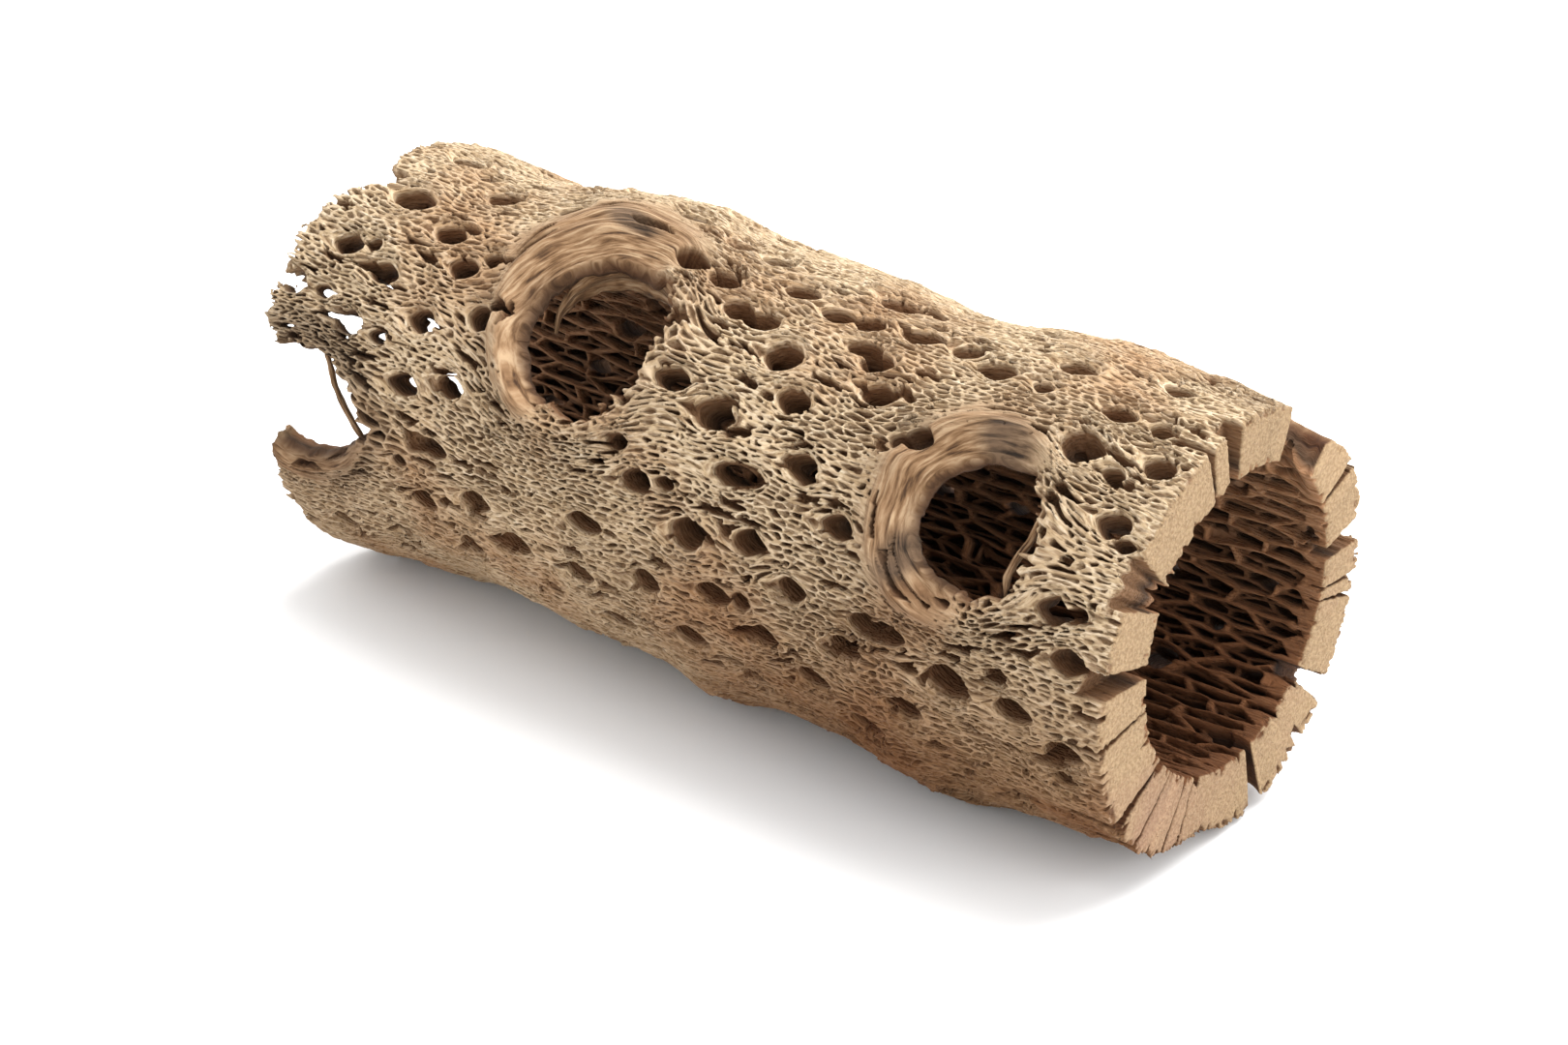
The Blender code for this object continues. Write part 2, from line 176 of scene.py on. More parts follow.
# Colours, as linear red, green and blue. The first two are ramps over the grain.
TAN = ((0.28, (0.25, 0.15, 0.074)), (0.42, (0.48, 0.345, 0.202)), (0.57, (0.655, 0.505, 0.335)),
       (0.75, (0.78, 0.66, 0.495)))
COLLAR_STREAKS = ((0.34, (0.054, 0.026, 0.012)), (0.44, (0.186, 0.10, 0.046)),
                  (0.53, (0.31, 0.187, 0.098)), (0.64, (0.475, 0.327, 0.195)))
RUST = (0.40, 0.205, 0.09)
LIGHT_BROWN, DARK_BROWN = (0.29, 0.175, 0.09), (0.14, 0.07, 0.034)
# Pits darken with depth: partly the wood's own colour, partly painted shade.
PORE_TINT, PIT_COLOUR_AND_SHADE = (0.30, 0.19, 0.11), (0.31, 0.185, 0.11)
# Deep in the wall the wood is dark: partly its own colour, partly painted shade.
LINING_DARK_AND_SHADE, LINING_LIGHT = (0.105, 0.065, 0.05), (0.64, 0.43, 0.325)
STAIN_DARK, STAIN_LIGHT = (0.022, 0.014, 0.009), (0.17, 0.105, 0.062)
# Painted shade: darker towards the floor, and more so at the low near end.
LOW_SHADE_TINT, LOW_NEAR_END_SHADE_TINT = (0.72, 0.66, 0.61), (0.60, 0.49, 0.405)
CUT_DARK, CUT_LIGHT, CUT_PINK = (0.33, 0.215, 0.115), (0.45, 0.31, 0.175), (0.32, 0.16, 0.115)


# Small tools

def add_object(name, data):
    obj = bpy.data.objects.new(name, data)
    bpy.context.scene.collection.objects.link(obj)
    return obj


def turn_between(psi, other):
    return (psi - other + 180.0) % 360.0 - 180.0


def smooth_step(low, high, value):
    t = np.clip((value - low) / (high - low), 0.0, 1.0)
    return t * t * (3 - 2 * t)


def smooth_min(a, b, width):
    """The lesser of a and b, with the corner between them rounded over a width."""
    h = np.clip(0.5 + 0.5 * (b - a) / width, 0.0, 1.0)
    return b + (a - b) * h - width * h * (1 - h)


def lattice_noise(u, v, turns, seed):
    """Smooth noise from -1 to 1 at (u, v) in cells; u repeats after a whole number of turns."""
    table = np.random.default_rng(seed).uniform(-1, 1, (turns, 512)).astype(np.float32)
    cell_u, cell_v = np.floor(u), np.floor(v)
    part_u, part_v = u - cell_u, v - cell_v
    part_u = part_u * part_u * (3 - 2 * part_u)
    part_v = part_v * part_v * (3 - 2 * part_v)
    u0 = cell_u.astype(np.int32) % turns
    v0 = cell_v.astype(np.int32) % 512
    u1, v1 = (u0 + 1) % turns, (v0 + 1) % 512
    near = table[u0, v0] * (1 - part_u) + table[u1, v0] * part_u
    far = table[u0, v1] * (1 - part_u) + table[u1, v1] * part_u
    return near * (1 - part_v) + far * part_v


def surface_noise(psi, x, around, along, seed):
    """Noise over the log's surface, with cells of about these sizes in millimetres."""
    turns = max(round(360.0 * ARC / around), 3)
    return lattice_noise(psi / 360.0 * turns, (x - X_START) / along, turns, seed)


# The log's outer shape

def outer_radius(x, psi):
    radius = FAR_RADIUS + (NEAR_RADIUS - FAR_RADIUS) * (x + HALF_LENGTH) / (2 * HALF_LENGTH)
    for centre_x, centre_psi, height, reach, reach_psi in SWELLINGS:
        off_x = (x - centre_x) / reach
        off_psi = turn_between(psi, centre_psi) / reach_psi
        radius = radius + height * np.exp(-off_x * off_x - off_psi * off_psi)
    return radius


# Maps over the unrolled surface

def window(x, psi, reach_x, reach_around):
    """The grid places within reach of (x, psi), and their offsets from it in millimetres."""
    middle = round(psi / 360.0 * AROUND)
    rows_reach = min(math.ceil(reach_around / STEP_AROUND), AROUND // 2 - 1)
    rows = np.arange(middle - rows_reach, middle + rows_reach + 1)
    low = max(math.floor((x - reach_x - X_START) / STEP_ALONG), 0)
    high = min(math.ceil((x + reach_x - X_START) / STEP_ALONG), ALONG - 1)
    cols = np.arange(low, high + 1)
    off_around = (rows * 360.0 / AROUND - psi) * ARC
    off_along = cols * STEP_ALONG + X_START - x
    place = np.ix_(rows % AROUND, cols)
    return place, off_along[None, :].astype(np.float32), off_around[:, None].astype(np.float32)


def spiral_holes():
    """The holes round the hidden side, on the plant's own spiral, slightly irregular."""
    chance = np.random.default_rng(21)
    holes = []
    for k in range(int(2 * HALF_LENGTH / SPIRAL_STEP)):
        x = -HALF_LENGTH + SPIRAL_STEP * (k + 0.5) + chance.uniform(-2.2, 2.2)
        psi = (GOLDEN_ANGLE * k) % 360.0 + chance.uniform(-3.0, 3.0)
        scale = chance.uniform(0.55, 1.2)
        if HIDDEN_SIDE[0] < psi < HIDDEN_SIDE[1]:
            holes.append((x, psi, PLAIN_HOLE[0] * scale, PLAIN_HOLE[1] * scale))
    return holes


def all_holes():
    """Every hole as (x, psi, half length, half width, how deep it goes)."""
    chance = np.random.default_rng(5)
    listed = [(x, psi, *LARGE_HOLE) for x, psi in LARGE_HOLES]
    listed += [(x, psi, *PLAIN_HOLE) for x, psi in PLAIN_HOLES]
    listed += [(x, psi, *SMALL_HOLE) for x, psi in SMALL_HOLES]
    count_listed = len(listed)
    listed += spiral_holes()
    holes = []
    for i, (x, psi, half_length, half_width) in enumerate(listed):
        near = [h for h in holes if abs(h[0] - x) < 11 and abs(turn_between(h[1], psi)) * ARC < 8]
        if i >= count_listed and near:
            continue
        if any(near_opening(knot, x, psi) < half_length + 0.5 for knot in KNOTS.values()):
            continue
        swell = chance.uniform(0.88, 1.12)
        depth = THROUGH if chance.random() < 0.7 or half_length > 4 else chance.uniform(6.0, 10.0)
        if math.hypot(x - BLIND_HOLE[0], psi - BLIND_HOLE[1]) < 2:
            depth = BLIND_DEPTH
        holes.append((x, psi, half_length * swell, half_width / swell**0.5, depth))
    return holes


def near_opening(knot, x, psi):
    """Distance beyond the edge of a knot's opening at (x, psi)."""
    off_x, off_s = x - knot["at"][0], turn_between(psi, knot["at"][1]) * ARC
    beyond, _ = beyond_opening(knot, off_x, off_s)
    return beyond


def beyond_opening(knot, off_x, off_s):
    """Distance beyond the edge of a knot's opening, and the direction from its centre in radians."""
    half_along, half_around = knot["size"]
    angle = np.arctan2(off_s, off_x)
    edge = 1 / np.hypot(np.cos(angle) / half_along, np.sin(angle) / half_around)
    return np.hypot(off_x, off_s) - edge, angle


def flow_round(holes, psi, x):
    """Coordinates along and across the wood's fibres, which part round every hole and knot like a
    stream. Both are in millimetres, and start as the place on the unrolled surface."""
    along = np.broadcast_to(x, (AROUND, ALONG)).astype(np.float32).copy()
    across = np.broadcast_to(psi * ARC, (AROUND, ALONG)).astype(np.float32).copy()
    bodies = [(h[0], h[1], h[2] * 1.1, h[3] * 1.1, 3.0) for h in holes]
    for knot in KNOTS.values():
        size = knot["size"]
        spread = 0.5 * sum(knot["width"])
        bodies.append((*knot["at"], size[0] + 0.5 * spread, size[1] + 0.5 * spread, 2.2))
    for centre_x, centre_psi, half_along, half_around, reach in bodies:
        far = reach * half_around
        place, off_x, off_s = window(centre_x, centre_psi, far * half_along / half_around * 1.3, far * 1.3)
        squeezed = off_x * (half_around / half_along)
        distance = squeezed * squeezed + off_s * off_s
        push = half_around**2 / np.maximum(distance, half_around**2)
        push = push * np.exp(-distance / (0.5 * far) ** 2)
        across[place] -= off_s * push
        along[place] += 0.5 * off_x * push
    return along, across


def cell_net(along, across, length, width, seed, jitter):
    """A net of long cells. Returns the distance in millimetres from the nearest strand between two
    cells, and a random value from 0 to 1 for the cell. The net closes on itself round the log."""
    rows = 2 * round(360.0 * ARC / width / 2)
    width = 360.0 * ARC / rows
    u, v = along / length, across / width
    cell_u, cell_v = np.floor(u).astype(np.int32), np.floor(v).astype(np.int32)
    chance = np.random.default_rng(seed).uniform(0, 1, (3, rows, 256)).astype(np.float32)
    first = np.full(u.shape, 9.0, np.float32)
    second = first.copy()
    near_u, near_v = np.zeros_like(first), np.zeros_like(first)
    other_u, other_v = np.zeros_like(first), np.zeros_like(first)
    value = np.zeros_like(first)
    for step_v in (-1, 0, 1):
        row = (cell_v + step_v) % rows
        brick = 0.5 * ((cell_v + step_v) & 1)
        for step_u in (-1, 0, 1, 2) if step_v else (-1, 0, 1):
            column = (cell_u + step_u) % 256
            point_u = cell_u + step_u + brick - 0.25 + jitter * (chance[0][row, column] - 0.5) * 2
            point_v = cell_v + step_v + 0.5 + jitter * (chance[1][row, column] - 0.5) * 2
            distance = (point_u - u) ** 2 + (point_v - v) ** 2
            closer = distance < first
            next_best = ~closer & (distance < second)
            second = np.where(closer, first, np.where(next_best, distance, second))
            other_u = np.where(closer, near_u, np.where(next_best, point_u, other_u))
            other_v = np.where(closer, near_v, np.where(next_best, point_v, other_v))
            first = np.where(closer, distance, first)
            near_u = np.where(closer, point_u, near_u)
            near_v = np.where(closer, point_v, near_v)
            value = np.where(closer, chance[2][row, column], value)
    slope = np.hypot((other_u - near_u) / length, (other_v - near_v) / width)
    return 0.5 * (second - first) / np.maximum(slope, 1e-3), value


def hole_maps(holes):
    """Distance beyond the edge of the nearest hole, and how deep that hole goes."""
    edge = np.full((AROUND, ALONG), 9.0, np.float32)
    reach = np.full((AROUND, ALONG), THROUGH, np.float32)
    for x, psi, half_length, half_width, depth in holes:
        place, off_x, off_s = window(x, psi, half_length + 6, half_width + 6)
        round_part = np.hypot(off_x / half_length, off_s / half_width)
        ratio = 0.7 * round_part + 0.3 * (np.abs(off_x) / half_length + np.abs(off_s) / half_width)
        slope = np.hypot(off_x / half_length**2, off_s / half_width**2)
        distance = np.where(ratio > 0.3, round_part * (ratio - 1) / np.maximum(slope, 1e-3), -half_width)
        closer = distance < edge[place]
        edge[place] = np.where(closer, distance, edge[place])
        reach[place] = np.where(closer, depth, reach[place])
    return edge, reach


def knot_maps(psi, x):
    """Maps of the knots: the opening's edge, how smooth the collar is, the surface's rise and dip, the
    passage's flare, how warm the wood's colour is, the region, and coordinates that run round them."""
    shape = (AROUND, ALONG)
    maps = {key: np.zeros(shape, np.float32) for key in ("collar", "relief", "dip", "flare", "warm")}
    maps["knot"] = np.full(shape, 99.0, np.float32)
    nearest = np.full(shape, 99.0, np.float32)
    ring = {key: np.zeros(shape, np.float32) for key in ("ring_x", "ring_y", "ring_w", "round")}
    region = np.zeros(shape, np.int8)
    rough = surface_noise(psi, x, 2.2, 3.5, 31) + 0.5 * surface_noise(psi, x, 1.0, 1.6, 32)
    uneven = surface_noise(psi, x, 9.0, 11.0, 33)
    for i, (name, knot) in enumerate(KNOTS.items()):
        off_x, off_s = x - knot["at"][0], turn_between(psi, knot["at"][1]) * ARC
        beyond, angle = beyond_opening(knot, off_x, off_s)
        broad = 0.5 + 0.5 * np.cos(angle - math.radians(knot["broad"]))
        smooth = 0.5 + 0.5 * np.cos(angle - math.radians(knot["smooth"]))
        least, greatest = knot["width"]
        width = least + (greatest - least) * broad ** knot["narrows"]
        smoothness = smooth_step(*knot["turns"], smooth + 0.08 * uneven)
        ragged = knot["ragged"] * (1 - smoothness) + 0.55
        here = beyond + ragged * rough + 0.5 * uneven
        maps["knot"] = np.minimum(maps["knot"], here)
        turns = angle / (2 * np.pi)
        fray = lattice_noise(turns * 7, beyond / 1.6, 7, 35)
        fray += lattice_noise(turns * 15, beyond / 0.8, 15, 36)
        ring_here = smooth_step(1.5 * width, 0.7 * width, beyond + 1.5 * fray + 0.6 * rough) * smoothness
        streaks = lattice_noise(turns * 9, beyond / 1.0, 9, 37)
        streaks += lattice_noise(turns * 14, beyond / 0.6, 14, 38)
        maps["relief"] += (0.24 * streaks + 0.3 * uneven) * ring_here
        maps["collar"] = np.maximum(maps["collar"], ring_here)
        crest = np.exp(-(((beyond - 0.75 * width) / (0.5 * width)) ** 2))
        maps["relief"] += knot["crest"] * crest * (0.25 + 0.75 * smoothness)
        dip = 1 - smooth_step(-0.2, 1.0, beyond / width)
        maps["dip"] = np.maximum(maps["dip"], knot["dip"] * dip * (0.3 + 0.7 * smoothness) * (beyond > -9))
        close = beyond < nearest
        nearest = np.where(close, beyond, nearest)
        maps["flare"] = np.where(close, knot["flare"], maps["flare"])
        size = sum(knot["size"]) / 2
        for key, value in (("ring_x", 0.08 * size * np.cos(angle)), ("ring_y", 0.08 * size * np.sin(angle)),
                           ("ring_w", beyond + 40.0 * i), ("round", size * angle)):
            ring[key] = np.where(close, value, ring[key])
        warmth = np.exp(-((np.maximum(beyond - 0.6 * width, 0) / 8.0) ** 2)) * (0.45 + 0.55 * smoothness)
        maps["warm"] = np.maximum(maps["warm"], warmth)
        if name:
            region[beyond < width] = i + 1
    maps.update(ring)
    return maps, region


def far_end_at(psi):
    """Where the broken end is, without its fine tears."""
    turns = np.array([p for p, _ in FAR_END], float)
    reach = np.array([x for _, x in FAR_END], float)
    return np.interp((psi - turns[0]) % 360.0 + turns[0], np.append(turns, turns[0] + 360.0),
                     np.append(reach, reach[0]))


def end_field(psi, x, depth):
    """Positive between the two ends: the far one broken, the near one sawn, with its notches."""
    torn = surface_noise(psi, np.full_like(psi, depth * 1.3), 3.0, 1.0, 41)
    fine = surface_noise(psi, np.full_like(psi, depth * 3.0), 0.9, 1.0, 42)
    far = x - (far_end_at(psi) + 1.1 * torn + 0.7 * fine)
    chip = surface_noise(psi, np.full_like(psi, depth), 1.3, 1.2, 43)
    edges = np.exp(-np.maximum(depth, 0) / 1.2) + np.exp(-np.maximum(WALL - depth, 0) / 1.2)
    chip = np.maximum(chip, 0) * 1.5 * edges
    near = HALF_LENGTH - x - chip
    for centre, half_width, run_in, lean in END_NOTCHES:
        wobble = 0.4 * surface_noise(psi * 0 + depth * 30.0, psi * 0 + centre, 3.0, 1.0, 44)
        off = turn_between(psi, centre) * ARC - lean * (depth / WALL - 0.5) * 2 - wobble
        wedge = 1.0 if half_width < 1.2 else 0.4
        wide = half_width * (1 + wedge * (0.5 - max(depth, 0) / WALL))
        torn_back = 0.9 * surface_noise(psi, x * 0 + centre, 1.6, 1.0, 45)
        notch = np.maximum(np.abs(off) - wide, (HALF_LENGTH - run_in + torn_back) - x)
        near = np.minimum(near, notch)
    return far, near


# The solid field

CLOSED = 9.0  # half width of a strand that fills its cells
CELL_CLOSING = 0.8  # how fast a cell closes below its floor, in mm per mm


def depth_levels():
    """Depths of the grid's layers: fine under the surface, and coarser inside the wall."""
    fine = 0.35
    coarse = 0.9
    outer = np.arange(-4.2, 3.6, fine)
    middle = np.arange(outer[-1] + coarse, WALL - 2.5, coarse)
    inner = np.arange(middle[-1] + 0.6, WALL + 2.4, 0.6)
    return np.concatenate([outer, middle, inner]).astype(np.float32)


def surface_relief(psi, x, along, across, hole_edge, maps):
    """How far the surface stands out from the plain log, in millimetres."""
    collar = maps["collar"]
    relief = maps["relief"] + 0.65 * surface_noise(psi, x, 7.0, 14.0, 7)
    relief += 0.3 * surface_noise(across / ARC, along, 2.2, 9.0, 8)
    relief -= 0.9 * np.exp(-((np.maximum(hole_edge, 0) / 1.7) ** 2)) * (1 - collar)
    relief += 0.5 * np.exp(-(((hole_edge - 2.2) / 1.2) ** 2)) * (1 - collar)
    relief -= maps["dip"]
    return relief


def wall_thickness(psi, x, near_cut, knot_edge):
    """The wall is thinner at the front towards the far end, and round the knots."""
    wall = WALL - 4.2 * smooth_step(-30.0, -72.0, x) * np.exp(-(turn_between(psi, 72.0) / 62.0) ** 4)
    wall -= 3.5 * smooth_step(16.0, 4.0, np.maximum(knot_edge, 0))
    return WALL * near_cut + wall * (1 - near_cut)


def bark_nets(psi, x, along, across, maps, hole_edge, near_cut):
    """The nets seen from outside: the main one, its larger gaps, and the slits in the collars. Each
    is (half width of a strand, how fast it widens inward, depth of the cells, distance map)."""
    collar = maps["collar"]
    warped_along = along + 1.3 * surface_noise(psi, x, 3.0, 5.0, 16)
    warped_across = across + 0.3 * surface_noise(psi, x, 2.5, 4.0, 17)
    strand, cell = cell_net(warped_along, warped_across, *BARK_NET)
    half_strand = 0.31 + 0.14 * surface_noise(psi, x, 5.0, 9.0, 9) + 2.2 * collar
    half_strand += 0.12 * surface_noise(psi, x, 14.0, 26.0, 18)
    half_strand += 0.3 * smooth_step(0.9, 0.3, hole_edge)
    pit_depth = (0.45 + 2.9 * cell**2) * (1 - 0.6 * near_cut)
    gap_strand, gap_cell = cell_net(along, across, *GAP_NET)
    gap_half = np.where(gap_cell > 0.8, 0.85, CLOSED) + 3.0 * collar
    gap_depth = (2.4 + 10.0 * (gap_cell - 0.8)) * (1 - 0.5 * near_cut)
    slit_strand, slit_cell = cell_net(maps["round"], maps["ring_w"] + 60.0, *SLIT_NET)
    slit_half = np.where((slit_cell > 0.8) & (collar > 0.4) & (maps["dip"] < 2.5), 0.46, CLOSED)
    return ((half_strand, 0.12, pit_depth, strand), (gap_half, 0.10, gap_depth, gap_strand),
            (slit_half, 0.15, 1.3, slit_strand))


def lining_nets(psi, x, along, across, wall, knot_edge, near_cut):
    """The ribs seen inside the passage, coarse and fine, in the same form as the bark's nets."""
    wavy = along + 3 * surface_noise(psi, x, 20.0, 30.0, 3)
    coarse, coarse_cell = cell_net(wavy, across, *LINING_NET)
    fine, fine_cell = cell_net(wavy, across, *FINE_LINING_NET)
    coarse_half = 0.5 + 0.2 * surface_noise(psi, x, 8.0, 12.0, 10) + 2.0 * near_cut
    near_knot = smooth_step(7.0, 2.0, knot_edge)
    shallow = (1 - 0.9 * near_cut) * (1 - 0.85 * near_knot)
    coarse_depth = np.minimum(4.0 + 6.0 * coarse_cell, 0.75 * wall - 3.0) * shallow
    fine_depth = np.minimum(3.0 + 4.0 * fine_cell, 0.6 * wall - 3.0) * shallow
    return (coarse_half, 0.16, coarse_depth, coarse), (0.35, 0.1, fine_depth, fine)


def net_wood(net, inward, past=0.0):
    """Positive in a net's strands, and below the floors of its cells. Cells can start a bit past
    the surface."""
    half_strand, widens, cell_depth, distance = net
    floor = CELL_CLOSING * np.maximum(inward - past - cell_depth, 0)
    return half_strand + widens * np.maximum(inward, 0) + floor - distance


def build_field():
    """The wood as a field on the grid, positive inside it; with the depths of the grid's layers, the
    maps over the unrolled surface, and each place's region."""
    psi = (np.arange(AROUND) * 360.0 / AROUND)[:, None].astype(np.float32)
    x = (np.arange(ALONG) * STEP_ALONG + X_START)[None, :].astype(np.float32)
    holes = all_holes()
    along, across = flow_round(holes, psi, x)
    across = across + 1.1 * surface_noise(psi, x, 14.0, 22.0, 1)
    hole_edge, hole_reach = hole_maps(holes)
    hole_edge = hole_edge + 0.4 * surface_noise(psi, x, 2.6, 3.4, 6)
    maps, region = knot_maps(psi, x)
    knot_edge = maps["knot"]
    relief = surface_relief(psi, x, along, across, hole_edge, maps)
    near_cut = smooth_step(101.0, 106.0, x)
    wall = wall_thickness(psi, x, near_cut, knot_edge)
    main, gaps, slits = bark_nets(psi, x, along, across, maps, hole_edge, near_cut)
    coarse, fine = lining_nets(psi, x, along, across, wall, knot_edge, near_cut)
    lip = 2.4 + 0.5 * surface_noise(psi, x, 3.0, 3.0, 34)
    rounding = 0.35 + 0.3 * maps["collar"]
    levels = depth_levels()
    field = np.empty((AROUND, ALONG, len(levels)), np.float32)
    for k, depth in enumerate(levels):
        below = depth + relief
        bark = np.minimum(np.minimum(net_wood(main, below), net_wood(gaps, below)), net_wood(slits, below))
        solid = smooth_min(below, bark, 0.25)
        tunnel = np.maximum(hole_edge + 0.05 * below, below - hole_reach)
        solid = smooth_min(solid, tunnel, 0.6)
        above = wall - depth
        ribs = np.maximum(net_wood(coarse, above), np.minimum(net_wood(fine, above, 1.5), above - 1.8))
        solid = smooth_min(solid, smooth_min(above, ribs, 0.5), 0.5)
        opened = maps["flare"] * np.maximum(below - lip, 0)
        passage = knot_edge - opened + 0.35 * np.minimum(np.maximum(below, 0), lip)
        solid = smooth_min(solid, passage, rounding)
        far, near = end_field(psi, x, float(depth))
        solid = smooth_min(solid, far, 0.4)
        field[:, :, k] = np.minimum(solid, near)
    field[:, 0, :] = -1
    field[:, -1, :] = -1
    field[:, :, 0] = -1
    field[:, :, -1] = -1
    maps.update(along=along, across=across, relief=relief, above=WALL - wall)
    return field, levels, maps, region


# Meshing

CORNERS = np.array([(i, j, k) for i in (0, 1) for j in (0, 1) for k in (0, 1)])
EDGES = [(a, b) for a in range(8) for b in range(a + 1, 8) if np.abs(CORNERS[a] - CORNERS[b]).sum() == 1]
UNIT_STEPS = np.eye(3, dtype=int)


def net_surface(field, inside):
    """The surface of the points inside, as one vertex in each cell that it crosses. Returns the
    vertices in grid steps, the four-sided faces, and which faces are cuts through solid wood."""
    shape = tuple(n - 1 for n in field.shape)
    crossed = np.zeros(shape, np.int8)
    for i, j, k in CORNERS:
        crossed += inside[i:i + shape[0], j:j + shape[1], k:k + shape[2]]
    cells = np.flatnonzero(((crossed > 0) & (crossed < 8)).ravel())
    at = np.stack(np.unravel_index(cells, shape), axis=1)
    value = np.stack([field[tuple((at + corner).T)] for corner in CORNERS])
    total = np.zeros((len(at), 3), np.float32)
    count = np.zeros(len(at), np.float32)
    for a, b in EDGES:
        crosses = (value[a] > 0) != (value[b] > 0)
        share = np.where(crosses, value[a] / np.where(crosses, value[a] - value[b], 1), 0)
        place = CORNERS[a] + (CORNERS[b] - CORNERS[a]) * share[:, None]
        total += place * crosses[:, None]
        count += crosses
    middle = np.where(count[:, None] > 0, total / np.maximum(count, 1)[:, None], 0.5)
    number = np.full(shape, -1, np.int32)
    number.ravel()[cells] = np.arange(len(cells))
    faces, cuts = [], []
    for axis in range(3):
        ahead = np.roll(inside, -1, axis)
        changes = np.argwhere(inside != ahead)
        changes = changes[changes[:, axis] < shape[axis]]
        second, third = UNIT_STEPS[(axis + 1) % 3], UNIT_STEPS[(axis + 2) % 3]
        corners = (changes - second - third, changes - third, changes, changes - second)
        quad = np.stack([number[tuple(c.T)] for c in corners], axis=1)
        out = inside[tuple(changes.T)]
        quad = np.where(out[:, None], quad, quad[:, ::-1])
        following = changes + UNIT_STEPS[axis]
        cut = (field[tuple(changes.T)] > 0) & (field[tuple(following.T)] > 0)
        faces.append(quad)
        cuts.append(cut)
    return at + middle, np.concatenate(faces), np.concatenate(cuts)


def drop_crumbs(points, faces, cuts):
    """Leaves out the small separate shells: loose crumbs, and bubbles closed inside the wood."""
    label = np.arange(len(points))
    while True:
        least = label[faces].min(axis=1)
        lower = label.copy()
        np.minimum.at(lower, faces.ravel(), np.repeat(least, 4))
        lower = lower[lower]
        if (lower == label).all():
            break
        label = lower
    size = np.bincount(label, minlength=len(points))
    cut_size = np.bincount(label[faces[:, 0]], cuts, minlength=len(points))
    large = (size > 0.03 * size.max()) | (cut_size > 12)
    keep = large[label]
    number = np.cumsum(keep) - 1
    kept_faces = keep[faces[:, 0]]
    return points[keep], number[faces[kept_faces]], cuts[kept_faces]


def region_names():
    """The wall's regions in the order of their numbers."""
    return [(quarter, length) for quarter in QUARTERS for length in LENGTHS]


def number_regions(region):
    """Each place's region: a collar's number, or else the number of its part of the wall."""
    psi = np.arange(AROUND) * 360.0 / AROUND
    quarter = (((psi + 45.0) % 360.0) // 90.0).astype(int)
    x = np.arange(ALONG) * STEP_ALONG + X_START
    length = np.digitize(x, LENGTH_SEAMS)
    walls = FIRST_WALL + quarter[:, None] * len(LENGTHS) + length[None, :]
    return np.where(region > 0, region, walls)


def sample(grid, rows, cols):
    """Values of a map between its grid places."""
    i, j = np.floor(rows).astype(int), np.floor(cols).astype(int)
    p, q = rows - i, cols - j
    i0, i1 = i % AROUND, (i + 1) % AROUND
    j0, j1 = np.clip(j, 0, ALONG - 1), np.clip(j + 1, 0, ALONG - 1)
    return ((grid[i0, j0] * (1 - p) + grid[i1, j0] * p) * (1 - q)
            + (grid[i0, j1] * (1 - p) + grid[i1, j1] * p) * q)


def mesh_region(name, number, field, levels, maps, numbers):
    """One region of the wood as a closed mesh object."""
    mine = numbers == number
    rows_in, cols_in = np.flatnonzero(mine.any(axis=1)), np.flatnonzero(mine.any(axis=0))
    gap = np.diff(np.append(rows_in, rows_in[0] + AROUND))
    start = rows_in[(gap.argmax() + 1) % len(rows_in)]
    count = (rows_in[gap.argmax()] - start) % AROUND + 1
    rows = np.arange(start - 2, start + count + 2)
    cols = np.arange(max(cols_in[0] - 2, 0), min(cols_in[-1] + 3, ALONG))
    place = np.ix_(rows % AROUND, cols)
    block = field[place]
    points, faces, cuts = drop_crumbs(*net_surface(block, (block > 0) & mine[place][:, :, None]))
    row, col = points[:, 0] + rows[0], points[:, 1] + cols[0]
    depth = np.interp(points[:, 2], np.arange(len(levels)), levels)
    psi, x = row * 360.0 / AROUND, col * STEP_ALONG + X_START
    mesh = outward_mesh(name, on_log(x, psi, depth), faces)
    mark_cut_edges(mesh, cuts)
    store_maps(mesh, row, col, depth, maps)
    return add_object(name, mesh)


def outward_mesh(name, places, faces):
    """A mesh of four-sided faces, turned so that they all face out of the wood."""
    mesh = bpy.data.meshes.new(name)
    mesh.vertices.add(len(places))
    mesh.vertices.foreach_set("co", places.astype(np.float32).ravel())
    first, third = places[faces[:, 0]], places[faces[:, 2]]
    side = np.cross(places[faces[:, 2]] - first, places[faces[:, 3]] - places[faces[:, 1]])
    if (side * (first + third)).sum() < 0:
        faces = faces[:, ::-1]
    mesh.loops.add(4 * len(faces))
    mesh.loops.foreach_set("vertex_index", faces.astype(np.int32).ravel())
    mesh.polygons.add(len(faces))
    mesh.polygons.foreach_set("loop_start", np.arange(0, 4 * len(faces), 4, dtype=np.int32))
    mesh.update(calc_edges=True)
    return mesh


def store_maps(mesh, row, col, depth, maps):
    """Keeps what the material reads: the maps' values at each vertex, and how cut or stained it is."""
    psi, x = row * 360.0 / AROUND, col * STEP_ALONG + X_START
    below = depth + sample(maps["relief"], row, col)
    store(mesh, "below", below)
    store(mesh, "depth", depth)
    store(mesh, "along", sample(maps["along"], row, col))
    plain = (np.arange(AROUND) * 360.0 / AROUND * ARC)[:, None]
    store(mesh, "across", psi * ARC + sample(maps["across"] - plain, row, col))
    store(mesh, "depth_in_wall", depth + sample(maps["above"], row, col))
    for key in ("collar", "warm", "ring_x", "ring_y", "ring_w"):
        store(mesh, key, sample(maps[key], row, col) + (0.4 * depth if key == "ring_w" else 0))
    store(mesh, "stain", stain_at(x, psi))
    torn = 0.5 * smooth_step(3.0, 0.8, x - far_end_at(psi)) * smooth_step(0.6, 2.0, below)
    store(mesh, "sawn", np.maximum(smooth_step(HALF_LENGTH - 0.35, HALF_LENGTH - 0.15, x), torn))


